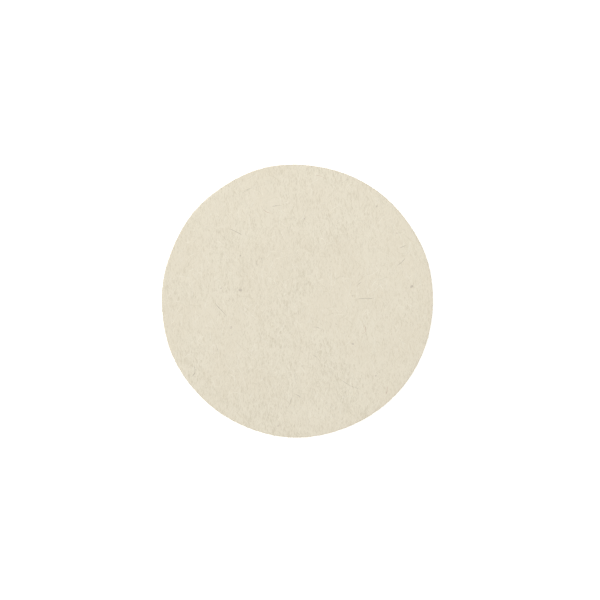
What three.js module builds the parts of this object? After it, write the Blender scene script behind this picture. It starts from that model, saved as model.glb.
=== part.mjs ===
// Self-adhesive felt polishing disc for the flat lap or the end plate of a lapidary machine.
// Millimetres, +Z up. The origin is the middle of the underside, and the felt's working face looks up.
// A disc of pressed wool felt is laminated to a double-coated film tape, whose lower adhesive holds
// the disc to the lap plate. A release liner covers that adhesive until the disc is put to use.
// One stroke of a round die cuts the whole stack, so every layer has the same rim.

import * as THREE from "three";

// ---- Driving dimensions ----

const DISC_DIAMETER = 152.4;
const LINER_THICKNESS = 0.15;
const LAP_ADHESIVE_THICKNESS = 0.1;
const CARRIER_FILM_THICKNESS = 0.05;
const FELT_ADHESIVE_THICKNESS = 0.1;
const FELT_THICKNESS = 4.8;
const FELT_EDGE_ROUNDING = 0.6; // the die drags the felt's top rim down into a small soft radius

const RIM_SIDES = 144; // a multiple of four, so that a corner of the rim lies on each axis
const ROUNDING_STEPS = 4;

const rimRadius = DISC_DIAMETER / 2;

// ---- Finishes ----

function finish(color, roughness) {
  return new THREE.MeshStandardMaterial({ color, roughness, metalness: 0 });
}

const woolFelt = finish(0xe3dbc8, 0.95);
const clearAdhesive = finish(0xe9e4d2, 0.25);
const clearFilm = finish(0xeef1f2, 0.15);
const glassinePaper = finish(0xdcc79c, 0.5);

// ---- Shapes ----

// Turns a profile of [radius, height] points about Z. It starts and ends on the axis, bottom first.
function turned(profile) {
  const points = profile.map(([radius, height]) => new THREE.Vector2(radius, height));
  const geometry = new THREE.LatheGeometry(points, RIM_SIDES);
  geometry.rotateX(Math.PI / 2); // a lathe turns about Y, and the disc stands on Z
  return geometry;
}

// A flat layer whose square-cut rim is the die's.
function flatLayer(thickness) {
  return turned([
    [0, 0],
    [rimRadius, 0],
    [rimRadius, thickness],
    [0, thickness],
  ]);
}

// The felt: square below, where the film tape holds it, and rounded a little above.
function feltLayer(thickness) {
  const rounding = Math.min(FELT_EDGE_ROUNDING, thickness / 2, rimRadius / 2);
  const profile = [
    [0, 0],
    [rimRadius, 0],
  ];
  for (let step = 0; step <= ROUNDING_STEPS; step += 1) {
    const turn = ((Math.PI / 2) * step) / ROUNDING_STEPS;
    const radius = rimRadius - rounding * (1 - Math.cos(turn));
    const height = thickness - rounding * (1 - Math.sin(turn));
    profile.push([radius, height]);
  }
  profile.push([0, thickness]);
  return turned(profile);
}

function layer(name, geometry, material, underside) {
  const mesh = new THREE.Mesh(geometry, material);
  mesh.name = name;
  mesh.position.z = underside;
  return mesh;
}

// ---- The stack, from the bench upwards ----

const lapAdhesiveBottom = LINER_THICKNESS;
const carrierFilmBottom = lapAdhesiveBottom + LAP_ADHESIVE_THICKNESS;
const feltAdhesiveBottom = carrierFilmBottom + CARRIER_FILM_THICKNESS;
const feltBottom = feltAdhesiveBottom + FELT_ADHESIVE_THICKNESS;

// The liner peels away as one piece, so it is a group of its own.
const liner = new THREE.Group();
liner.name = "liner";
liner.add(layer("release_liner", flatLayer(LINER_THICKNESS), glassinePaper, 0));

const pad = new THREE.Group();
pad.name = "pad";
pad.add(
  layer("lap_adhesive", flatLayer(LAP_ADHESIVE_THICKNESS), clearAdhesive, lapAdhesiveBottom),
  layer("carrier_film", flatLayer(CARRIER_FILM_THICKNESS), clearFilm, carrierFilmBottom),
  layer("felt_bond_adhesive", flatLayer(FELT_ADHESIVE_THICKNESS), clearAdhesive, feltAdhesiveBottom),
  layer("felt_disc", feltLayer(FELT_THICKNESS), woolFelt, feltBottom),
);

const feltPolishingDisc = new THREE.Group();
feltPolishingDisc.name = "felt_polishing_disc";
feltPolishingDisc.add(liner, pad);

export default feltPolishingDisc;
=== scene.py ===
"""Felt polishing disc with a peel-off adhesive back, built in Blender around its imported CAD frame.

The working layer is pressed wool felt. It is made as one dense matted body, with loose fibres of its
own wool on its face and its die-cut wall, and the few dark hairs and burr flecks that undyed wool
keeps. The film tape and its release liner are the frame's own pieces, with new finishes.
"""

import math

import bpy
import numpy as np
from bpy.props import FloatProperty, FloatVectorProperty, IntProperty, PointerProperty
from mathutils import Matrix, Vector


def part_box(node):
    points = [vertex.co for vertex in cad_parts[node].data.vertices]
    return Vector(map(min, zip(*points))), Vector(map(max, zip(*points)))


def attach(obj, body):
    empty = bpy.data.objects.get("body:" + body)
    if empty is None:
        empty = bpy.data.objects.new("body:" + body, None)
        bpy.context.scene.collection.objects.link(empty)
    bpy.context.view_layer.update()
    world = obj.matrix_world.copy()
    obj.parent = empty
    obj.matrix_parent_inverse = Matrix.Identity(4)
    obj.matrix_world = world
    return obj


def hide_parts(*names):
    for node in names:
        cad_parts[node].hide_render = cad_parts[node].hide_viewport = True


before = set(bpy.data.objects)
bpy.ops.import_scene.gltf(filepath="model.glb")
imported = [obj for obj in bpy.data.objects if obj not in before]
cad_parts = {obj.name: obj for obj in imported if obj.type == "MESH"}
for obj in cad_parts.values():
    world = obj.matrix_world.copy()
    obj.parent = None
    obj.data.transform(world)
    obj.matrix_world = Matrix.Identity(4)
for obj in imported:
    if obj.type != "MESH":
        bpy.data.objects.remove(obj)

bl_info = {
    "name": "Felt polishing disc",
    "version": (1, 0, 0),
    "blender": (4, 5, 0),
    "location": "View3D > Sidebar > Felt disc",
    "description": "Builds a self-adhesive wool felt polishing disc and the studio it stands in",
    "category": "Add Mesh",
}

FELT_LOW, FELT_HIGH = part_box("felt_disc")
MM = 0.001


def a_length(name, description, millimetres):
    """A length property, with its default in millimetres."""
    return FloatProperty(
        name=name, description=description, default=millimetres * MM, unit="LENGTH", precision=6
    )


def a_colour(name, description, rgb):
    """A colour property, in linear light."""
    return FloatVectorProperty(
        name=name, description=description, default=rgb, subtype="COLOR", size=3, min=0, max=1
    )


def an_angle(name, description, degrees):
    """An angle property, with its default in degrees."""
    return FloatProperty(
        name=name, description=description, default=math.radians(degrees), subtype="ANGLE"
    )


def a_count(name, description, number, least=1):
    """A whole-number property."""
    return IntProperty(name=name, description=description, default=number, min=least)


def a_number(name, description, value):
    """A number with no unit."""
    return FloatProperty(name=name, description=description, default=value, precision=3)


# ---- What a user would change ----


class FeltProperties(bpy.types.PropertyGroup):
    """The body of the felt: its outline, its relief and its wool."""

    rim_radius: FloatProperty(
        name="Rim radius",
        description="Radius that the die cuts the felt to",
        default=(FELT_HIGH[0] - FELT_LOW[0]) / 2,
        unit="LENGTH",
    )
    underside: FloatProperty(
        name="Underside", description="Height of the bonded back", default=FELT_LOW[2], unit="LENGTH"
    )
    face: FloatProperty(
        name="Face", description="Height of the working face", default=FELT_HIGH[2], unit="LENGTH"
    )
    edge_rounding: a_length("Edge rounding", "Radius that the die leaves on the top rim", 0.55)
    shoulder_drop: a_length("Shoulder drop", "How far the face sinks towards its rim", 0.07)
    shoulder_width: a_length("Shoulder width", "Width of the ring in which the face sinks", 3.0)
    spring: a_length("Spring", "How far the felt springs out past the film it was cut with", 0.5)
    out_of_round: a_length("Out of round", "How far the sprung felt strays from a true circle", 0.32)
    held_height: a_length("Held height", "Height up to which the film holds the felt in", 1.4)
    face_cells: a_count("Face cells", "Mesh cells across the face", 280, least=40)
    wall_rows: a_count("Wall rows", "Mesh rows down the cut wall", 12, least=4)
    swell: a_length("Swell", "Height of the broad soft swells in the face", 0.05)
    clumps: a_length("Clumps", "Height of the matted clumps", 0.014)
    grain: a_length("Grain", "Height of the fine grain", 0.009)
    strata: a_length("Strata", "Depth of the layers that show in the cut wall", 0.05)
    lay_angle: an_angle("Lay", "Direction that most fibres lie in", 49)
    lay_stretch: a_number("Lay stretch", "Length of a clump along the lay over its width", 2.4)
    pale_wool: a_colour("Pale wool", "Colour of the fibres on top", (0.817, 0.759, 0.620))
    # Partly painted shade: the dull wool between the pale top fibres is the wool's own duller tone and also
    # the shade that falls in the gaps between fibres.
    dull_wool_and_painted_shade: a_colour("Dull wool", "Colour of the wool between them", (0.681, 0.621, 0.488))
    warm_wool: a_colour("Warm wool", "Colour that patches of the wool lean to", (0.770, 0.694, 0.551))
    seed: a_count("Seed", "Starts the felt's chance pattern", 11)


class FibreProperties(bpy.types.PropertyGroup):
    """Loose fibres, and what the wool still holds besides."""

    face_locks: a_count("Face locks", "Matted strands on the face, of each of three tones", 3200)
    lock_length: a_length("Lock length", "Usual length of a strand on the face", 7.5)
    lock_radius: a_length("Lock radius", "Half the usual width of a strand on the face", 0.048)
    flatness: a_number("Flatness", "Height of a matted strand over its width", 0.28)
    wool_radius: a_length("Wool radius", "Half the thickness of a single fibre", 0.028)
    wall_fibres: a_count("Wall fibres", "Cut fibres that lie along the wall", 2600)
    wall_length: a_length("Wall fibre length", "Usual length of a fibre on the wall", 3.2)
    face_fuzz: a_count("Face fuzz", "Short ends that stand out of the face", 3600)
    rim_fuzz: a_count("Rim fuzz", "Short ends that stand out round the top rim", 4200)
    wall_fuzz: a_count("Wall fuzz", "Short ends that stand out of the cut wall", 4200)
    fuzz_length: a_length("Fuzz length", "Usual length of a standing end", 0.85)
    ivory: a_colour("Ivory", "Palest wool fibres", (0.853, 0.804, 0.677))
    cream: a_colour("Cream", "Ordinary wool fibres", (0.775, 0.722, 0.586))
    straw: a_colour("Straw", "Duller wool fibres", (0.722, 0.663, 0.523))
    # Painted light: the loose ends round the rim are coloured paler than the ivory wool. This stands in for
    # the light that passes through single fibres and brightens the rim.
    loose_ends_painted_light: a_colour("Loose ends", "Ends round the rim, which light gets through", (0.92, 0.89, 0.81))
    dark_hairs: a_count("Dark hairs", "Coarse grey-brown hairs", 20)
    russet_hairs: a_count("Russet hairs", "Coarse red-brown hairs", 5)
    hair_length: a_length("Hair length", "Usual length of a coarse hair", 8.0)
    hair_radius: a_length("Hair radius", "Half the thickness of a coarse hair", 0.14)
    hair_dark: a_colour("Dark hair", "Colour of the grey-brown hairs", (0.50, 0.455, 0.375))
    hair_russet: a_colour("Russet hair", "Colour of the red-brown hairs", (0.58, 0.44, 0.35))
    flecks: a_count("Burr flecks", "Bits of burr caught in the wool", 16)
    fleck_size: a_length("Fleck size", "Usual width of a fleck", 1.15)
    burr: a_colour("Burr", "Colour of the flecks", (0.66, 0.60, 0.50))
    seed: a_count("Seed", "Starts the fibres' chance pattern", 23)


class TapeProperties(bpy.types.PropertyGroup):
    """The double-coated film tape and its liner."""

    paper: a_colour("Paper", "Glassine release paper", (0.73, 0.60, 0.37))
    paper_cloud: a_colour("Paper cloud", "Denser flocks in the paper", (0.67, 0.535, 0.31))
    adhesive: a_colour("Adhesive", "Clear adhesive, a little yellow", (0.80, 0.77, 0.64))
    film: a_colour("Film", "Clear polyester film", (0.86, 0.88, 0.88))


class StudioProperties(bpy.types.PropertyGroup):
    """The camera, the light and the floor."""

    field_width: a_length("Field width", "Width that the camera sees at the felt's face", 338.2)
    lens: a_number("Lens", "Focal length in millimetres", 100)
    aim_right: a_length("Aim right", "How far right of the disc's centre the camera points", 1.57)
    aim_up: a_length("Aim up", "How far above the disc's centre the camera points", 0.52)
    roll: an_angle("Roll", "Direction that is up in the picture", 45)
    key_tilt: an_angle("Key tilt", "Angle of the key light from straight overhead", 16)
    key_side: an_angle("Key side", "Side that the key light comes from", 160)
    key_spread: an_angle("Key spread", "Width of the key light as the disc sees it", 60)
    key_strength: a_number("Key strength", "Strength of the key light", 1.30)
    fill_strength: a_number("Fill strength", "Strength of the light from all round", 0.445)
    softbox_distance: a_length("Softbox distance", "Distance of the softbox from the disc", 900.0)
    softbox_width: a_length("Softbox width", "Width of the softbox", 450.0)
    softbox_tilt: an_angle("Softbox tilt", "Angle of the softbox from straight overhead", 40)
    softbox_side: an_angle("Softbox side", "Side that the softbox stands on", 63)
    softbox_power: a_number("Softbox power", "Power of the softbox in watts", 1.65)
    floor_glow: a_number("Floor glow", "Light that the back-lit floor gives", 0.45)
    floor_half: a_length("Floor half-width", "Half the width of the floor", 6000.0)


# ---- Small helpers ----


def deselect_everything():
    if bpy.context.object and bpy.context.object.mode != "OBJECT":
        bpy.ops.object.mode_set(mode="OBJECT")
    bpy.ops.object.select_all(action="DESELECT")


def read_points(mesh):
    points = np.empty(len(mesh.vertices) * 3)
    mesh.vertices.foreach_get("co", points)
    return points.reshape(-1, 3)


def write_points(mesh, points):
    mesh.vertices.foreach_set("co", points.ravel())
    mesh.update()


def smoothstep(value):
    value = np.clip(value, 0, 1)
    return value * value * (3 - 2 * value)


def add_node(tree, kind, inputs=None, **settings):
    """Adds a node. An input given as a socket is linked, and any other value is set on the input."""
    made = tree.nodes.new(kind)
    for name, value in settings.items():
        setattr(made, name, value)
    for name, value in (inputs or {}).items():
        if isinstance(value, bpy.types.NodeSocket):
            tree.links.new(value, made.inputs[name])
        else:
            made.inputs[name].default_value = value
    return made


def arithmetic(tree, operation, first, second=0.0, third=0.0):
    made = add_node(tree, "ShaderNodeMath", {0: first, 1: second, 2: third}, operation=operation)
    return made.outputs[0]


def weighted_sum(tree, *terms):
    """The sum of terms that are each (value, weight)."""
    total = 0.0
    for value, weight in terms:
        total = arithmetic(tree, "MULTIPLY_ADD", value, weight, total)
    return total


def blend_colours(tree, factor, first, second):
    made = add_node(tree, "ShaderNodeMix", {0: factor, 6: first, 7: second}, data_type="RGBA")
    return made.outputs[2]


def opaque(rgb):
    return (rgb[0], rgb[1], rgb[2], 1.0)


def surface_material(name, **constants):
    """A material with one Principled shader, whose plain values are set on its own sockets."""
    made = bpy.data.materials.new(name)
    made.use_nodes = True
    tree = made.node_tree
    tree.nodes.clear()
    shader = add_node(tree, "ShaderNodeBsdfPrincipled", constants)
    add_node(tree, "ShaderNodeOutputMaterial", {"Surface": shader.outputs[0]})
    return made, tree, shader


def millimetre_coordinates(tree):
    """The piece's own coordinates, in millimetres."""
    own = add_node(tree, "ShaderNodeTexCoord").outputs["Object"]
    return add_node(tree, "ShaderNodeVectorMath", {0: own, "Scale": 1 / MM}, operation="SCALE").outputs[0]


def noise(tree, vector, wavelength, detail=2.0, roughness=0.5):
    made = add_node(
        tree,
        "ShaderNodeTexNoise",
        {"Vector": vector, "Scale": 1 / wavelength, "Detail": detail, "Roughness": roughness},
    )
    return made.outputs[0]


def remap(tree, value, low, high, new_low=0.0, new_high=1.0):
    made = add_node(tree, "ShaderNodeMapRange", {0: value, 1: low, 2: high, 3: new_low, 4: new_high})
    return made.outputs[0]


# ---- Relief: seeded heights, longer along the lay ----

FACE_RELIEF_CELLS = (1024, 1024)  # of the face's sheet of heights
WALL_RELIEF_CELLS = (2048, 32)  # of the wall's sheet, round it and up it
RELIEF_SHEET_WIDTH = 2.2  # over the rim's radius, so that the sheet reaches past the disc
RELIEF_HEADROOM = 3  # over the swells' and clumps' height, which keeps their tops under the face
RIM_CALM = 0.5  # share of the relief that the pressed rim loses
BAND_WIDTH = 0.45  # of one band's wavelengths, as a difference of their logarithms
MOST_RIM_LOBES = 12


def banded_noise(rng, cells, spans, bands, turn):
    """A periodic sheet of chance heights. Each band is (wavelength, height, stretch along turn)."""
    cycles = [np.fft.fftfreq(count, d=span / count) for count, span in zip(cells, spans)]
    first, second = np.meshgrid(*cycles, indexing="ij")
    along = first * math.cos(turn) + second * math.sin(turn)
    across = second * math.cos(turn) - first * math.sin(turn)
    heights = np.zeros(cells)
    for wavelength, height, stretch in bands:
        pitch = np.maximum(np.hypot(along * stretch, across) * wavelength, 1e-9)
        weight = np.exp(-((np.log(pitch) / BAND_WIDTH) ** 2))
        layer = np.fft.ifft2(np.fft.fft2(rng.standard_normal(cells)) * weight).real
        heights += height * layer / layer.std()
    return heights


def sample(heights, spans, first, second):
    """Heights between the cells of a periodic sheet, by straight lines."""
    u = first / spans[0] * heights.shape[0]
    v = second / spans[1] * heights.shape[1]
    i, j = np.floor(u).astype(int), np.floor(v).astype(int)
    s, t = u - i, v - j
    i0, i1 = i % heights.shape[0], (i + 1) % heights.shape[0]
    j0, j1 = j % heights.shape[1], (j + 1) % heights.shape[1]
    low = heights[i0, j0] * (1 - t) + heights[i0, j1] * t
    high = heights[i1, j0] * (1 - t) + heights[i1, j1] * t
    return low * (1 - s) + high * s


class FeltForm:
    """The felt's surface as a formula, which its mesh and its fibres share."""

    def __init__(self, felt):
        self.felt = felt
        rng = np.random.default_rng(felt.seed)
        self.face_spans = (RELIEF_SHEET_WIDTH * felt.rim_radius,) * 2
        self.face_relief = banded_noise(
            rng,
            FACE_RELIEF_CELLS,
            self.face_spans,
            [
                (26 * MM, felt.swell, 1.0),
                (8 * MM, felt.clumps * 0.6, 1.3),
                (3.4 * MM, felt.clumps * 0.7, felt.lay_stretch),
                (1.7 * MM, felt.grain, felt.lay_stretch),
            ],
            felt.lay_angle,
        )
        self.rim_waves = [
            (lobes, felt.out_of_round / lobes**0.8, 2 * math.pi * rng.random())
            for lobes in range(2, MOST_RIM_LOBES + 1)
        ]
        self.wall_spans = (2 * math.pi * felt.rim_radius, felt.face - felt.underside)
        self.wall_relief = banded_noise(
            rng,
            WALL_RELIEF_CELLS,
            self.wall_spans,
            [(1.1 * MM, felt.strata * 0.7, 5.0), (0.6 * MM, felt.strata * 0.5, 2.5)],
            0.0,
        )

    def rim(self, angle):
        """Radius of the felt's free outline, sprung past the film and a little out of round."""
        outline = self.felt.rim_radius + self.felt.spring
        for lobes, reach, phase in self.rim_waves:
            outline = outline + reach * np.cos(lobes * angle + phase)
        return outline

    def face_height(self, x, y):
        """Height of the working face at a place on it."""
        felt = self.felt
        inward = self.rim(np.arctan2(y, x)) - felt.edge_rounding - np.hypot(x, y)
        near_rim = 1 - smoothstep(inward / felt.shoulder_width)
        relief = sample(self.face_relief, self.face_spans, x, y) * (1 - RIM_CALM * near_rim)
        headroom = RELIEF_HEADROOM * (felt.swell + felt.clumps)
        return felt.face - headroom + relief - felt.shoulder_drop * near_rim**2

    def wall_radius(self, angle, height):
        """Radius of the cut wall at a height, with the rounding at its top and its layers."""
        felt = self.felt
        top = self.face_height(
            (self.rim(angle) - felt.edge_rounding) * np.cos(angle),
            (self.rim(angle) - felt.edge_rounding) * np.sin(angle),
        )
        depth = np.clip((top - height) / felt.edge_rounding, 0, 1)
        rounded = felt.edge_rounding * (1 - np.sqrt(1 - (1 - depth) ** 2))
        strata = sample(self.wall_relief, self.wall_spans, angle * felt.rim_radius, height - felt.underside)
        free = self.rim(angle) - rounded + strata * smoothstep(depth)
        held = 1 - smoothstep((height - felt.underside) / felt.held_height)
        return free + held * (felt.rim_radius - free)


# ---- Materials: patterns are laid out in millimetres, and a bump's distance is in metres ----

# Sets of lines on the felt: each is its turn from the lay in degrees, and its weight.
LOCK_SETS = ((0, 1.2), (12, 0.9), (-14, 0.9), (30, 0.5), (-32, 0.5))
FIBRE_SETS = ((4, 1.0), (-19, 0.8), (24, 0.8), (62, 0.4), (-60, 0.4))
LINE_SET_SPACING = 7.3  # between the places that two sets read, so that no two are alike
DULL_TONE, PALE_TONE = 2.75, 3.77  # sums of tone that show as the dull wool with its painted shade and as pale wool
WALL_PAINTED_LIGHT = 1.86  # painted light: lifts the wall's tone level with the face's, so that the cut wall and the rim's rounding, which face sideways and take less light, read as pale as the face


def drawn_noise(tree, vector, direction, draw_length, draw_width, place):
    """Chance values drawn out along one direction, about 0.5. Each place gives others."""
    turned = add_node(
        tree,
        "ShaderNodeMapping",
        {"Vector": vector, "Location": (place, -place, 0.37 * place), "Rotation": (0, 0, -direction)},
    ).outputs[0]
    drawn = add_node(
        tree,
        "ShaderNodeVectorMath",
        {0: turned, 1: (1 / draw_length, 1 / draw_width, 1 / draw_width)},
        operation="MULTIPLY",
    ).outputs[0]
    return noise(tree, drawn, 1.0, detail=1.5)


def fibre_lines(tree, vector, direction, line_length, line_width, crest, place):
    """Fine curved lines that mostly run one way, as fibres of a matted batt do, from 0 to 1."""
    ridge = drawn_noise(tree, vector, direction, line_length, line_width, place)
    off_crest = arithmetic(tree, "ABSOLUTE", arithmetic(tree, "SUBTRACT", ridge, 0.5))
    return remap(tree, off_crest, 0.0, crest, 1.0, 0.0)


def crossing_lines(tree, vector, lay_angle, line_sets, line_length, line_width, crest, place):
    """The weighted mean of several sets of fibre lines, each (turn from the lay, weight)."""
    total_weight = sum(weight for turn, weight in line_sets)
    terms = []
    for turn, weight in line_sets:
        place += LINE_SET_SPACING
        direction = lay_angle + math.radians(turn)
        lines = fibre_lines(tree, vector, direction, line_length, line_width, crest, place)
        terms.append((lines, weight / total_weight))
    return weighted_sum(tree, *terms)


def carded_streaks(tree, vector, lay_angle, fan, streak_length, streak_width, place):
    """Soft streaks that fan out a little about the lay, which carding leaves in a batt."""
    one_side = drawn_noise(tree, vector, lay_angle + fan, streak_length, streak_width, place)
    other_side = drawn_noise(tree, vector, lay_angle - fan, streak_length, streak_width, -place)
    return weighted_sum(tree, (one_side, 0.5), (other_side, 0.5))


def wandered(tree, millimetres, pitch, reach):
    """Coordinates that wander by up to about reach, so that straight lines drawn on them curl."""
    drift = add_node(
        tree, "ShaderNodeTexNoise", {"Vector": millimetres, "Scale": 1 / pitch, "Detail": 2.0}
    ).outputs["Color"]
    centred = add_node(
        tree, "ShaderNodeVectorMath", {0: drift, 1: (0.5, 0.5, 0.5)}, operation="SUBTRACT"
    ).outputs[0]
    return add_node(
        tree, "ShaderNodeVectorMath", {0: centred, 1: reach, 2: millimetres}, operation="MULTIPLY_ADD"
    ).outputs[0]


def pressed_wool(felt):
    """Matted felt: locks and streaks along the lay, finer fibres across it, and a layered wall whose tone
    is lifted by painted light. The dull wool between the pale fibres is partly painted shade.
    """
    made, tree, shader = surface_material(
        "pressed_wool",
        **{"Specular IOR Level": 0.2, "Sheen Weight": 0.3, "Sheen Roughness": 0.55},
    )
    lay = felt.lay_angle
    millimetres = millimetre_coordinates(tree)
    curly = wandered(tree, millimetres, pitch=5.0, reach=(1.9, 1.9, 0.4))
    locks = crossing_lines(tree, curly, lay, LOCK_SETS, 4.2, 1.1, crest=0.16, place=3.0)
    fibres = crossing_lines(tree, curly, lay, FIBRE_SETS, 2.8, 0.5, crest=0.09, place=61.0)
    broad_streaks = carded_streaks(tree, millimetres, lay, math.radians(10), 22.0, 5.0, place=17.0)
    narrow_streaks = carded_streaks(tree, curly, lay, math.radians(17), 7.0, 1.7, place=41.0)
    clumps = noise(tree, millimetres, 2.2, detail=2.0)
    blotches = noise(tree, millimetres, 17.0, detail=1.0)
    clouds = noise(tree, millimetres, 48.0, detail=1.0)
    layered = add_node(
        tree, "ShaderNodeVectorMath", {0: curly, 1: (0.22, 0.22, 1.5)}, operation="MULTIPLY"
    ).outputs[0]
    strata = noise(tree, layered, 1.0, detail=3.0, roughness=0.6)
    face_tone = weighted_sum(
        tree, (locks, 2.1), (fibres, 1.6), (clumps, 0.25), (broad_streaks, 0.5), (narrow_streaks, 1.75)
    )
    wall_strata_and_painted_light = weighted_sum(tree, (strata, 1.8), (fibres, 0.45))
    # Painted light: a constant lifts the tone of the wall and the rim's rounding above what their shading
    # leaves them.
    wall_strata_and_painted_light = arithmetic(tree, "ADD", wall_strata_and_painted_light, WALL_PAINTED_LIGHT)
    normal = add_node(tree, "ShaderNodeNewGeometry").outputs["Normal"]
    upward = add_node(tree, "ShaderNodeSeparateXYZ", {0: normal}).outputs["Z"]
    # Places that face up take the face's tone. The rest take the wall's layered tone with its painted
    # light.
    on_face = remap(tree, upward, 0.25, 0.8)
    tone_with_painted_wall_light = add_node(
        tree, "ShaderNodeMix", {0: on_face, 2: wall_strata_and_painted_light, 3: face_tone}, data_type="FLOAT"
    ).outputs[0]
    tone = weighted_sum(tree, (tone_with_painted_wall_light, 1.0), (blotches, 0.68), (clouds, 0.68))
    pale_share = remap(tree, tone, DULL_TONE, PALE_TONE)
    # the dull colour between the fibres is partly painted shade
    wool = blend_colours(tree, pale_share, opaque(felt.dull_wool_and_painted_shade), opaque(felt.pale_wool))
    warmth = remap(tree, noise(tree, millimetres, 23.0, detail=1.0), 0.35, 0.7, 0.0, 0.35)
    wool = blend_colours(tree, warmth, wool, opaque(felt.warm_wool))
    grain = noise(tree, millimetres, 0.22, detail=2.0)
    height = weighted_sum(tree, (grain, 0.5), (fibres, 1.0))
    bump = add_node(tree, "ShaderNodeBump", {"Height": height, "Distance": 0.05 * MM, "Strength": 0.7})
    tree.links.new(wool, shader.inputs["Base Color"])
    tree.links.new(remap(tree, fibres, 0.1, 0.6, 1.0, 0.86), shader.inputs["Roughness"])
    tree.links.new(bump.outputs[0], shader.inputs["Normal"])
    return made


def fibre_material(name, rgb, spread, roughness=0.75, sheen=0.15):
    """Loose fibres, a little lighter and darker from place to place."""
    made, tree, shader = surface_material(
        name, **{"Roughness": roughness, "Specular IOR Level": 0.3, "Sheen Weight": sheen}
    )
    mottle = noise(tree, millimetre_coordinates(tree), 2.3, detail=1.0)
    darker = opaque([channel * (1 - spread) for channel in rgb])
    lighter = opaque([min(1.0, channel * (1 + spread)) for channel in rgb])
    shade = blend_colours(tree, remap(tree, mottle, 0.3, 0.7), darker, lighter)
    tree.links.new(shade, shader.inputs["Base Color"])
    return made


def glassine(tape):
    """Supercalendered release paper: cloudy flocks, a faint grain and a satin surface."""
    made, tree, shader = surface_material("glassine_release_paper", **{"Specular IOR Level": 0.5})
    millimetres = millimetre_coordinates(tree)
    flocks = noise(tree, millimetres, 3.0, detail=4.0, roughness=0.6)
    grain = noise(tree, millimetres, 0.45, detail=3.0)
    cloud = remap(tree, weighted_sum(tree, (flocks, 1.0), (grain, 0.7)), 0.5, 1.2)
    paper = blend_colours(tree, cloud, opaque(tape.paper), opaque(tape.paper_cloud))
    cockle = noise(tree, millimetres, 16.0, detail=2.0)
    height = weighted_sum(tree, (cockle, 1.0), (grain, 0.08))
    bump = add_node(tree, "ShaderNodeBump", {"Height": height, "Distance": 0.35 * MM, "Strength": 0.5})
    tree.links.new(paper, shader.inputs["Base Color"])
    tree.links.new(remap(tree, flocks, 0.3, 0.7, 0.42, 0.55), shader.inputs["Roughness"])
    tree.links.new(bump.outputs[0], shader.inputs["Normal"])
    return made


def adhesive_coat(tape):
    """Clear adhesive with the faint ripple and fine bubbles that its coating leaves."""
    made, tree, shader = surface_material("clear_adhesive", **{"Coat Weight": 0.5, "Coat Roughness": 0.12})
    millimetres = millimetre_coordinates(tree)
    ripple = noise(tree, millimetres, 2.6, detail=3.0)
    cells = add_node(tree, "ShaderNodeTexVoronoi", {"Vector": millimetres, "Scale": 1 / 1.4})
    bubbles = remap(tree, cells.outputs["Distance"], 0.06, 0.16, 0.35, 0.0)
    deeper = opaque([channel * 0.9 for channel in tape.adhesive])
    tint = blend_colours(tree, remap(tree, ripple, 0.3, 0.7), opaque(tape.adhesive), deeper)
    pale = blend_colours(tree, bubbles, tint, opaque((0.93, 0.92, 0.88)))
    bump = add_node(tree, "ShaderNodeBump", {"Height": ripple, "Distance": 0.05 * MM, "Strength": 0.6})
    tree.links.new(pale, shader.inputs["Base Color"])
    tree.links.new(remap(tree, ripple, 0.3, 0.7, 0.2, 0.34), shader.inputs["Roughness"])
    tree.links.new(bump.outputs[0], shader.inputs["Normal"])
    return made


def polyester_film(tape):
    made, tree, shader = surface_material("polyester_film", **{"Coat Weight": 0.3, "Coat Roughness": 0.08})
    haze = noise(tree, millimetre_coordinates(tree), 6.0, detail=3.0)
    hazier = opaque([channel * 0.95 for channel in tape.film])
    tint = blend_colours(tree, remap(tree, haze, 0.3, 0.7), opaque(tape.film), hazier)
    tree.links.new(tint, shader.inputs["Base Color"])
    tree.links.new(remap(tree, haze, 0.3, 0.7, 0.12, 0.22), shader.inputs["Roughness"])
    return made


# ---- Strands: closed three-sided tubes with pointed ends ----

STRAND_SIDES = 3
STRAND_CREASE = math.radians(60)  # smooth over a flattened strand's back, and creased along its base
TIP_REACH = 1.5  # length of a pointed end over the strand's radius there
TRIM_TRIES, TRIM = 6, 0.7  # how often a strand that crosses the cut is shortened, and to what share
THICKEST_LOCK = 4.5  # over the usual radius


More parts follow.
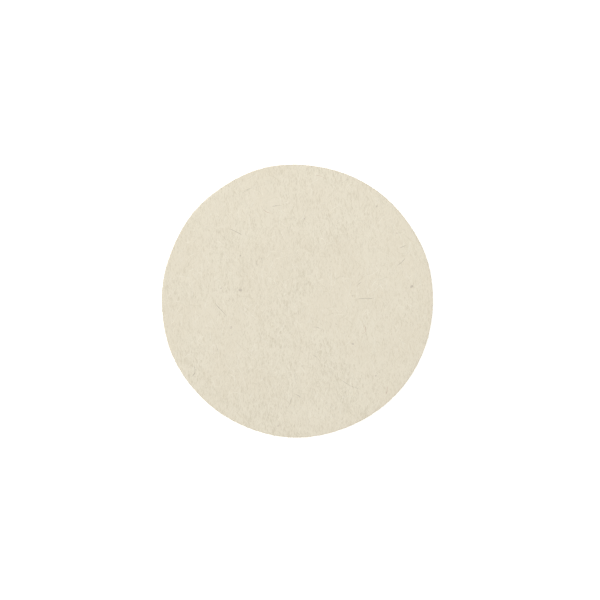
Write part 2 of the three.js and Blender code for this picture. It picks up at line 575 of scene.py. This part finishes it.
def strand_mesh(name, paths, radii, flatness):
    """One mesh of many strands. paths is (strands, rings, 3) and radii is (strands, rings)."""
    count, rings, _ = paths.shape
    tangents = np.gradient(paths, axis=1)
    tangents /= np.linalg.norm(tangents, axis=2, keepdims=True)
    side = np.cross(tangents, np.array([0.13, 0.07, 1.0]))
    side /= np.linalg.norm(side, axis=2, keepdims=True)
    over = flatness * np.cross(side, tangents)
    turns = math.pi / 2 + 2 * math.pi * np.arange(STRAND_SIDES) / STRAND_SIDES
    ring = (
        paths[:, :, None, :]
        + radii[:, :, None, None] * np.cos(turns)[None, None, :, None] * side[:, :, None, :]
        + radii[:, :, None, None] * np.sin(turns)[None, None, :, None] * over[:, :, None, :]
    )
    tip_reach = radii[:, [0, -1]] * TIP_REACH
    first_tip = paths[:, 0] - tangents[:, 0] * tip_reach[:, :1]
    last_tip = paths[:, -1] + tangents[:, -1] * tip_reach[:, 1:]
    tube = ring.reshape(count, rings * STRAND_SIDES, 3)
    points = np.concatenate([tube, first_tip[:, None], last_tip[:, None]], axis=1)
    stride = rings * STRAND_SIDES + 2
    quads, tips = [], []
    for step in range(rings - 1):
        for corner in range(STRAND_SIDES):
            after = (corner + 1) % STRAND_SIDES
            low, high = step * STRAND_SIDES, (step + 1) * STRAND_SIDES
            quads.append((low + corner, high + corner, high + after, low + after))
    end = (rings - 1) * STRAND_SIDES
    for corner in range(STRAND_SIDES):
        after = (corner + 1) % STRAND_SIDES
        tips.append((stride - 2, corner, after))
        tips.append((stride - 1, end + after, end + corner))
    starts = (np.arange(count) * stride)[:, None, None]
    all_quads = (np.array(quads)[None] + starts).reshape(-1, 4)
    all_tips = (np.array(tips)[None] + starts).reshape(-1, 3)
    mesh = bpy.data.meshes.new(name)
    mesh.from_pydata(points.reshape(-1, 3).tolist(), [], all_quads.tolist() + all_tips.tolist())
    mesh.update()
    return mesh


def strand_piece(name, paths, radii, material, flatness=1.0):
    """Adds a piece of many strands, which rides with the pad. flatness is their height over their width."""
    piece = bpy.data.objects.new(name, strand_mesh(name, paths, radii, flatness))
    bpy.context.collection.objects.link(piece)
    deselect_everything()
    piece.select_set(True)
    bpy.context.view_layer.objects.active = piece
    bpy.ops.object.shade_smooth_by_angle(angle=STRAND_CREASE)
    piece.data.materials.append(material)
    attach(piece, "pad")
    return piece


def wander(rng, heading, lengths, rings, bend, crimp):
    """Flat paths that set off along heading, with one steady bend and a random crimp."""
    count = len(heading)
    turns = rng.normal(0, bend, (count, 1)) / rings + rng.normal(0, crimp, (count, rings))
    headings = heading[:, None] + np.cumsum(turns, axis=1)
    steps = (lengths / (rings - 1))[:, None, None] * np.stack([np.cos(headings), np.sin(headings)], axis=2)
    flat = np.cumsum(steps, axis=1)
    return flat - flat.mean(axis=1, keepdims=True)


def scattered(rng, count, radius):
    """Places spread evenly over a circle."""
    distance = radius * np.sqrt(rng.random(count))
    angle = 2 * math.pi * rng.random(count)
    return np.stack([distance * np.cos(angle), distance * np.sin(angle)], axis=1)


def kept_inside(middles, flat, form, margin):
    """Shortens each path about its middle until the die's cut no longer crosses it."""
    for _ in range(TRIM_TRIES):
        places = middles[:, None] + flat
        limit = form.rim(np.arctan2(places[..., 1], places[..., 0])) - margin
        outside = (np.hypot(places[..., 0], places[..., 1]) > limit).any(axis=1)
        flat = np.where(outside[:, None, None], flat * TRIM, flat)
    return middles[:, None] + flat


def tapered(rng, count, rings, radius, spread, tip_share):
    """Radii along each strand, from a thin start through a full middle to a thin end."""
    along = np.linspace(0, 1, rings)
    shape = tip_share + (1 - tip_share) * np.sqrt(np.sin(math.pi * along))
    fullest = radius * np.minimum(rng.lognormal(0, spread, count), THICKEST_LOCK)
    return fullest[:, None] * shape[None]


def lie_on_face(rng, form, places, radii, lift, flatness=1.0):
    """Gives flat paths their height: each dives into the felt at its ends and rides up between."""
    count, rings = radii.shape
    along = np.linspace(0, 1, rings)[None]
    weave = np.sin(2 * math.pi * (along * rng.uniform(1.0, 2.4, (count, 1)) + rng.random((count, 1))))
    half_height = flatness * radii.max(axis=1, keepdims=True)
    offset = half_height * (lift * np.sin(math.pi * along) - 0.85 + 0.35 * weave)
    height = form.face_height(places[..., 0], places[..., 1]) + offset
    return np.concatenate([places, height[..., None]], axis=2)


# ---- Operators: one for each piece or group of like pieces ----

ROUNDING_ROWS = 4
BODY_CREASE = math.radians(60)
LOCK_RINGS, WALL_RINGS, FUZZ_RINGS, HAIR_RINGS = 10, 8, 6, 14
SHARE_WITH_THE_LAY = 0.8  # of the locks, and the rest lie anyhow
LONGEST_FUZZ = 2.2  # over the usual length
SAME_HEIGHT = 1e-7  # metres, within which two points count as level


class FELTDISC_OT_felt_body(bpy.types.Operator):
    """Make the felt's body: a dense matted disc with a softly rounded rim and a layered cut wall"""

    bl_idname = "feltdisc.felt_body"
    bl_label = "Felt body"

    def execute(self, context):
        felt = context.scene.feltdisc_felt
        form = FeltForm(felt)
        deselect_everything()
        bpy.ops.mesh.primitive_grid_add(
            x_subdivisions=felt.face_cells, y_subdivisions=felt.face_cells, size=2, location=(0, 0, 0)
        )
        body = context.object
        body.name = body.data.name = "wool_felt_body"
        self.round_the_grid(body.data, form)
        self.cut_the_wall(felt)
        self.press_the_relief(body.data, form)
        bpy.ops.object.shade_smooth_by_angle(angle=BODY_CREASE)
        body.data.materials.append(pressed_wool(felt))
        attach(body, "pad")
        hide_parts("felt_disc")
        return {"FINISHED"}

    def round_the_grid(self, mesh, form):
        """Draws the square grid into a disc of even cells, ring by ring."""
        points = read_points(mesh)
        x, y = points[:, 0], points[:, 1]
        ring = np.maximum(np.abs(x), np.abs(y))
        safe = np.where(ring > 0, ring, 1)
        flatter = np.abs(x) >= np.abs(y)
        share = np.where(flatter, y, x) / safe
        angle = np.where(
            flatter,
            np.where(x >= 0, 0, math.pi) + np.where(x >= 0, 1, -1) * share * math.pi / 4,
            np.where(y >= 0, math.pi / 2, -math.pi / 2) + np.where(y >= 0, -1, 1) * share * math.pi / 4,
        )
        radius = ring * (form.rim(angle) - form.felt.edge_rounding)
        height = np.full_like(x, form.felt.face)
        write_points(mesh, np.stack([radius * np.cos(angle), radius * np.sin(angle), height], 1))

    def cut_the_wall(self, felt):
        """Extrudes the rim down to the felt's back, in finer rows over the rounding, and closes it."""
        straight = (felt.face - felt.underside - felt.edge_rounding) / felt.wall_rows
        rows = [felt.edge_rounding / ROUNDING_ROWS] * ROUNDING_ROWS + [straight] * felt.wall_rows
        bpy.ops.object.mode_set(mode="EDIT")
        bpy.ops.mesh.select_mode(type="EDGE")
        bpy.ops.mesh.select_all(action="DESELECT")
        bpy.ops.mesh.select_non_manifold()
        for row in rows:
            bpy.ops.mesh.extrude_edges_move(TRANSFORM_OT_translate={"value": (0, 0, -row)})
        bpy.ops.mesh.edge_face_add()
        bpy.ops.mesh.select_all(action="SELECT")
        bpy.ops.mesh.normals_make_consistent(inside=False)
        bpy.ops.object.mode_set(mode="OBJECT")

    def press_the_relief(self, mesh, form):
        """Gives the face its swells and clumps and the wall its layers."""
        felt = form.felt
        points = read_points(mesh)
        x, y, z = points.T
        angle = np.arctan2(y, x)
        on_face = z > felt.face - SAME_HEIGHT
        rim_x = (form.rim(angle) - felt.edge_rounding) * np.cos(angle)
        rim_y = (form.rim(angle) - felt.edge_rounding) * np.sin(angle)
        share = (z - felt.underside) / (felt.face - felt.underside)
        wall_height = felt.underside + share * (form.face_height(rim_x, rim_y) - felt.underside)
        height = np.where(on_face, form.face_height(x, y), wall_height)
        radius = np.where(on_face, np.hypot(x, y), form.wall_radius(angle, height))
        write_points(mesh, np.stack([radius * np.cos(angle), radius * np.sin(angle), height], 1))


class FELTDISC_OT_face_locks(bpy.types.Operator):
    """Mat single fibres and thin locks of wool of three tones into the face, most of them along the lay"""

    bl_idname = "feltdisc.face_locks"
    bl_label = "Face locks"

    def execute(self, context):
        felt, fibres = context.scene.feltdisc_felt, context.scene.feltdisc_fibres
        form = FeltForm(felt)
        rng = np.random.default_rng(fibres.seed)
        count = fibres.face_locks
        for tone in ("ivory", "cream", "straw"):
            middles = scattered(rng, count, felt.rim_radius - felt.edge_rounding)
            with_the_lay = rng.random(count) < SHARE_WITH_THE_LAY
            near_the_lay = felt.lay_angle + rng.normal(0, math.radians(22), count)
            heading = np.where(with_the_lay, near_the_lay, math.pi * rng.random(count))
            lengths = fibres.lock_length * rng.lognormal(0, 0.35, count)
            flat = wander(rng, heading, lengths, LOCK_RINGS, bend=0.7, crimp=0.16)
            places = kept_inside(middles, flat, form, felt.edge_rounding)
            radii = tapered(rng, count, LOCK_RINGS, fibres.lock_radius, spread=0.75, tip_share=0.3)
            paths = lie_on_face(rng, form, places, radii, lift=0.9, flatness=fibres.flatness)
            material = fibre_material(f"wool_{tone}", getattr(fibres, tone), 0.06)
            strand_piece(f"face_locks_{tone}", paths, radii, material, fibres.flatness)
        return {"FINISHED"}


class FELTDISC_OT_wall_fibres(bpy.types.Operator):
    """Lay cut fibres along the die-cut wall, as the batt's layers leave them"""

    bl_idname = "feltdisc.wall_fibres"
    bl_label = "Wall fibres"

    def execute(self, context):
        felt, fibres = context.scene.feltdisc_felt, context.scene.feltdisc_fibres
        form = FeltForm(felt)
        rng = np.random.default_rng(fibres.seed + 1)
        count = fibres.wall_fibres
        heading = rng.normal(0, math.radians(14), count) + math.pi * (rng.random(count) < 0.5)
        lengths = fibres.wall_length * rng.lognormal(0, 0.4, count)
        flat = wander(rng, heading, lengths, WALL_RINGS, bend=0.4, crimp=0.14)
        radii = tapered(rng, count, WALL_RINGS, 0.9 * fibres.wool_radius, spread=0.25, tip_share=0.35)
        middle = rng.uniform(felt.underside + 0.15 * MM, felt.face - 0.5 * felt.edge_rounding, count)
        angle = 2 * math.pi * rng.random(count)[:, None] + flat[..., 0] / felt.rim_radius
        height = np.clip(middle[:, None] + flat[..., 1], felt.underside + 0.06 * MM, felt.face - 0.4 * MM)
        along = np.linspace(0, 1, WALL_RINGS)[None]
        offset = radii.max(axis=1, keepdims=True) * (1.8 * np.sin(math.pi * along) - 0.8)
        radius = form.wall_radius(angle, height) + offset
        paths = np.stack([radius * np.cos(angle), radius * np.sin(angle), height], axis=2)
        material = fibre_material("wool_cut_wall", fibres.cream, 0.1)
        strand_piece("wall_fibres", paths, radii, material)
        return {"FINISHED"}


class FELTDISC_OT_fuzz(bpy.types.Operator):
    """Raise the short fibre ends that stand out of the face, round the rim and out of the wall"""

    bl_idname = "feltdisc.fuzz"
    bl_label = "Fuzz"

    def execute(self, context):
        felt, fibres = context.scene.feltdisc_felt, context.scene.feltdisc_fibres
        form = FeltForm(felt)
        rng = np.random.default_rng(fibres.seed + 2)
        for name, count, rgb, place_feet, low_rise, high_rise in (
            ("face_fuzz", fibres.face_fuzz, fibres.ivory, self.face_feet, 5, 35),
            # painted light: the rim's ends take the paler colour that stands in for light through single
            # fibres
            ("rim_fuzz", fibres.rim_fuzz, fibres.loose_ends_painted_light, self.rim_feet, 10, 60),
            ("wall_fuzz", fibres.wall_fuzz, fibres.ivory, self.wall_feet, 10, 50),
        ):
            material = fibre_material(f"wool_{name}", rgb, 0.04, sheen=0.3)
            feet, outward = place_feet(rng, form, count)
            paths, radii = self.standing_ends(rng, fibres, feet, outward, low_rise, high_rise)
            paths[..., 2] = np.maximum(paths[..., 2], felt.underside + radii)
            strand_piece(name, paths, radii, material)
        return {"FINISHED"}

    def face_feet(self, rng, form, count):
        spots = scattered(rng, count, form.felt.rim_radius - form.felt.edge_rounding)
        feet = np.column_stack([spots, form.face_height(spots[:, 0], spots[:, 1])])
        return feet, np.tile([0.0, 0.0, 1.0], (count, 1))

    def rim_feet(self, rng, form, count):
        """Feet on the rounding, where the wall turns into the face."""
        felt = form.felt
        angle = 2 * math.pi * rng.random(count)
        turn = rng.uniform(0, math.pi / 2, count)
        inner = form.rim(angle) - felt.edge_rounding
        top = form.face_height(inner * np.cos(angle), inner * np.sin(angle))
        height = top - felt.edge_rounding * (1 - np.sin(turn))
        radius = form.wall_radius(angle, height)
        feet = np.stack([radius * np.cos(angle), radius * np.sin(angle), height], 1)
        outward = np.stack([np.cos(turn) * np.cos(angle), np.cos(turn) * np.sin(angle), np.sin(turn)], 1)
        return feet, outward

    def wall_feet(self, rng, form, count):
        felt = form.felt
        angle = 2 * math.pi * rng.random(count)
        height = rng.uniform(felt.underside + 0.1 * MM, felt.face - felt.edge_rounding, count)
        radius = form.wall_radius(angle, height)
        feet = np.stack([radius * np.cos(angle), radius * np.sin(angle), height], 1)
        return feet, np.stack([np.cos(angle), np.sin(angle), np.zeros(count)], 1)

    def standing_ends(self, rng, fibres, feet, outward, low_rise, high_rise):
        """Short fibres that leave the felt at a slant, given in degrees, and curl over."""
        count = len(feet)
        lean = rng.normal(0, 1, (count, 3))
        lean -= outward * (lean * outward).sum(axis=1, keepdims=True)
        lean /= np.linalg.norm(lean, axis=1, keepdims=True)
        rise = np.radians(rng.uniform(low_rise, high_rise, count))[:, None, None]
        lengths = fibres.fuzz_length * np.minimum(rng.lognormal(0, 0.45, count), LONGEST_FUZZ)
        step = (lengths / FUZZ_RINGS)[:, None, None]
        along = np.linspace(0, 1, FUZZ_RINGS)[None, :, None]
        bend = rise - rng.uniform(0.2, 1.3, count)[:, None, None] * along
        run = step * (np.cos(bend) * lean[:, None] + np.sin(bend) * outward[:, None])
        root = 1.6 * fibres.wool_radius * outward[:, None]
        paths = feet[:, None] - root + np.cumsum(run, axis=1)
        roots = 0.9 * fibres.wool_radius * rng.lognormal(0, 0.2, count)
        return paths, roots[:, None] * np.linspace(1.0, 0.4, FUZZ_RINGS)


class FELTDISC_OT_coarse_hairs(bpy.types.Operator):
    """Add the coarse grey-brown and red-brown hairs that undyed wool keeps"""

    bl_idname = "feltdisc.coarse_hairs"
    bl_label = "Coarse hairs"

    def execute(self, context):
        felt, fibres = context.scene.feltdisc_felt, context.scene.feltdisc_fibres
        form = FeltForm(felt)
        rng = np.random.default_rng(fibres.seed + 3)
        for name, count, rgb in (
            ("dark_hairs", fibres.dark_hairs, fibres.hair_dark),
            ("russet_hairs", fibres.russet_hairs, fibres.hair_russet),
        ):
            middles = scattered(rng, count, felt.rim_radius - 2 * MM)
            lengths = fibres.hair_length * rng.lognormal(0, 0.3, count)
            heading = 2 * math.pi * rng.random(count)
            flat = wander(rng, heading, lengths, HAIR_RINGS, bend=1.3, crimp=0.06)
            places = kept_inside(middles, flat, form, felt.edge_rounding)
            radii = tapered(rng, count, HAIR_RINGS, fibres.hair_radius, spread=0.3, tip_share=0.3)
            paths = lie_on_face(rng, form, places, radii, lift=1.0, flatness=fibres.flatness)
            material = fibre_material(f"coarse_{name}", rgb, 0.12, roughness=0.7, sheen=0.0)
            strand_piece(name, paths, radii, material, fibres.flatness)
        return {"FINISHED"}


class FELTDISC_OT_burr_flecks(bpy.types.Operator):
    """Press a few flecks of burr into the face"""

    bl_idname = "feltdisc.burr_flecks"
    bl_label = "Burr flecks"

    def execute(self, context):
        felt, fibres = context.scene.feltdisc_felt, context.scene.feltdisc_fibres
        form = FeltForm(felt)
        rng = np.random.default_rng(fibres.seed + 4)
        flecks = []
        for spot in scattered(rng, fibres.flecks, felt.rim_radius - 3 * MM):
            width = fibres.fleck_size * rng.lognormal(0, 0.35)
            height = float(form.face_height(np.array([spot[0]]), np.array([spot[1]]))[0])
            deselect_everything()
            turn = 2 * math.pi * rng.random()
            bpy.ops.mesh.primitive_ico_sphere_add(
                subdivisions=2,
                radius=width / 2,
                location=(spot[0], spot[1], height),
                rotation=(0, 0, turn),
            )
            fleck = context.object
            fleck.scale = (1.0, rng.uniform(0.3, 0.8), 0.22)
            bpy.ops.object.transform_apply(location=True, rotation=True, scale=True)
            points = read_points(fleck.data)
            write_points(fleck.data, points + rng.normal(0, width * 0.035, points.shape))
            flecks.append(fleck)
        deselect_everything()
        for fleck in flecks:
            fleck.select_set(True)
        context.view_layer.objects.active = flecks[0]
        bpy.ops.object.join()
        piece = context.object
        piece.name = piece.data.name = "burr_flecks"
        bpy.ops.object.transform_apply(location=True, rotation=True, scale=True)
        piece.data.materials.append(fibre_material("burr", fibres.burr, 0.15, roughness=0.7, sheen=0.0))
        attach(piece, "pad")
        return {"FINISHED"}


class FELTDISC_OT_film_tape(bpy.types.Operator):
    """Finish the double-coated tape and its release liner"""

    bl_idname = "feltdisc.film_tape"
    bl_label = "Film tape and liner"

    def execute(self, context):
        tape = context.scene.feltdisc_tape
        coat = adhesive_coat(tape)
        for node, material in (
            ("release_liner", glassine(tape)),
            ("lap_adhesive", coat),
            ("carrier_film", polyester_film(tape)),
            ("felt_bond_adhesive", coat),
        ):
            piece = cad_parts[node]
            if not piece.material_slots:
                raise RuntimeError(f"{node} has no material slot")
            for slot in piece.material_slots:
                slot.material = material
        return {"FINISHED"}


SENSOR_WIDTH = 36  # millimetres, as the lens is
ROOM_BRIGHTNESS = 1.05  # of the white room as the camera sees it


class FELTDISC_OT_studio(bpy.types.Operator):
    """Set the pale floor, the soft light and the camera straight above the disc"""

    bl_idname = "feltdisc.studio"
    bl_label = "Studio"

    def execute(self, context):
        studio, felt = context.scene.feltdisc_studio, context.scene.feltdisc_felt
        self.lay_floor(studio)
        self.set_lights(studio, context.scene)
        self.set_camera(studio, felt, context.scene)
        return {"FINISHED"}

    def lay_floor(self, studio):
        deselect_everything()
        bpy.ops.mesh.primitive_plane_add(size=2 * studio.floor_half, location=(0, 0, 0))
        floor = bpy.context.object
        floor.name = "studio_floor"
        made, tree, shader = surface_material(
            "white_floor",
            **{
                "Base Color": (0.95, 0.95, 0.95, 1),
                "Roughness": 1.0,
                "Specular IOR Level": 0.0,
                "Emission Color": (1, 1, 1, 1),
                "Emission Strength": studio.floor_glow,
            },
        )
        floor.data.materials.append(made)

    def set_lights(self, studio, scene):
        side = Vector((math.cos(studio.key_side), math.sin(studio.key_side), 0))
        towards = math.cos(studio.key_tilt) * Vector((0, 0, 1)) + math.sin(studio.key_tilt) * side
        deselect_everything()
        bpy.ops.object.light_add(type="SUN", location=towards)
        key = bpy.context.object
        key.name = "key_light"
        key.rotation_euler = towards.to_track_quat("Z", "Y").to_euler()
        key.data.energy = studio.key_strength
        key.data.angle = studio.key_spread
        self.add_softbox(studio)
        world = bpy.data.worlds.new("white_room")
        world.use_nodes = True
        tree = world.node_tree
        tree.nodes.clear()
        seen = add_node(tree, "ShaderNodeLightPath").outputs["Is Camera Ray"]
        strength = remap(tree, seen, 0.0, 1.0, studio.fill_strength, ROOM_BRIGHTNESS)
        room = add_node(tree, "ShaderNodeBackground", {"Color": (1, 1, 1, 1), "Strength": strength})
        add_node(tree, "ShaderNodeOutputWorld", {"Surface": room.outputs[0]})
        scene.world = world

    def add_softbox(self, studio):
        """A near light at the top of the picture, from which the face dims a little downwards."""
        side = Vector((math.cos(studio.softbox_side), math.sin(studio.softbox_side), 0))
        towards = math.cos(studio.softbox_tilt) * Vector((0, 0, 1)) + math.sin(studio.softbox_tilt) * side
        deselect_everything()
        bpy.ops.object.light_add(type="AREA", location=studio.softbox_distance * towards)
        softbox = bpy.context.object
        softbox.name = "softbox"
        softbox.rotation_euler = towards.to_track_quat("Z", "Y").to_euler()
        softbox.data.size = studio.softbox_width
        softbox.data.energy = studio.softbox_power

    def set_camera(self, studio, felt, scene):
        data = bpy.data.cameras.new("camera")
        data.lens = studio.lens
        data.sensor_width = SENSOR_WIDTH
        camera = bpy.data.objects.new("camera", data)
        scene.collection.objects.link(camera)
        up = Vector((math.cos(studio.roll), math.sin(studio.roll), 0))
        right = Vector((up.y, -up.x, 0))
        distance = studio.field_width * studio.lens / SENSOR_WIDTH
        aim = studio.aim_right * right + studio.aim_up * up
        camera.location = aim + Vector((0, 0, felt.face + distance))
        camera.rotation_euler = (0, 0, studio.roll - math.pi / 2)
        scene.camera = camera
        scene.view_settings.view_transform = "Standard"
        scene.cycles.denoising_prefilter = "NONE"


class FELTDISC_PT_panel(bpy.types.Panel):
    """Lists the disc's pieces and their sizes"""

    bl_idname = "FELTDISC_PT_panel"
    bl_label = "Felt disc"
    bl_space_type = "VIEW_3D"
    bl_region_type = "UI"
    bl_category = "Felt disc"

    def draw(self, context):
        for operator in OPERATORS:
            self.layout.operator(operator.bl_idname)
        for group in GROUPS:
            box = self.layout.box()
            for name in GROUPS[group].__annotations__:
                box.prop(getattr(context.scene, group), name)


GROUPS = {
    "feltdisc_felt": FeltProperties,
    "feltdisc_fibres": FibreProperties,
    "feltdisc_tape": TapeProperties,
    "feltdisc_studio": StudioProperties,
}
OPERATORS = (
    FELTDISC_OT_felt_body,
    FELTDISC_OT_face_locks,
    FELTDISC_OT_wall_fibres,
    FELTDISC_OT_fuzz,
    FELTDISC_OT_coarse_hairs,
    FELTDISC_OT_burr_flecks,
    FELTDISC_OT_film_tape,
    FELTDISC_OT_studio,
)


def register():
    for group in GROUPS:
        bpy.utils.register_class(GROUPS[group])
        setattr(bpy.types.Scene, group, PointerProperty(type=GROUPS[group]))
    for operator in OPERATORS:
        bpy.utils.register_class(operator)
    bpy.utils.register_class(FELTDISC_PT_panel)


def unregister():
    bpy.utils.unregister_class(FELTDISC_PT_panel)
    for operator in reversed(OPERATORS):
        bpy.utils.unregister_class(operator)
    for group in GROUPS:
        delattr(bpy.types.Scene, group)
        bpy.utils.unregister_class(GROUPS[group])


def main():
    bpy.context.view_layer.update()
    register()
    bpy.ops.feltdisc.studio()
    bpy.ops.feltdisc.felt_body()
    bpy.ops.feltdisc.face_locks()
    bpy.ops.feltdisc.wall_fibres()
    bpy.ops.feltdisc.fuzz()
    bpy.ops.feltdisc.coarse_hairs()
    bpy.ops.feltdisc.burr_flecks()
    bpy.ops.feltdisc.film_tape()


if __name__ == "__main__":
    main()
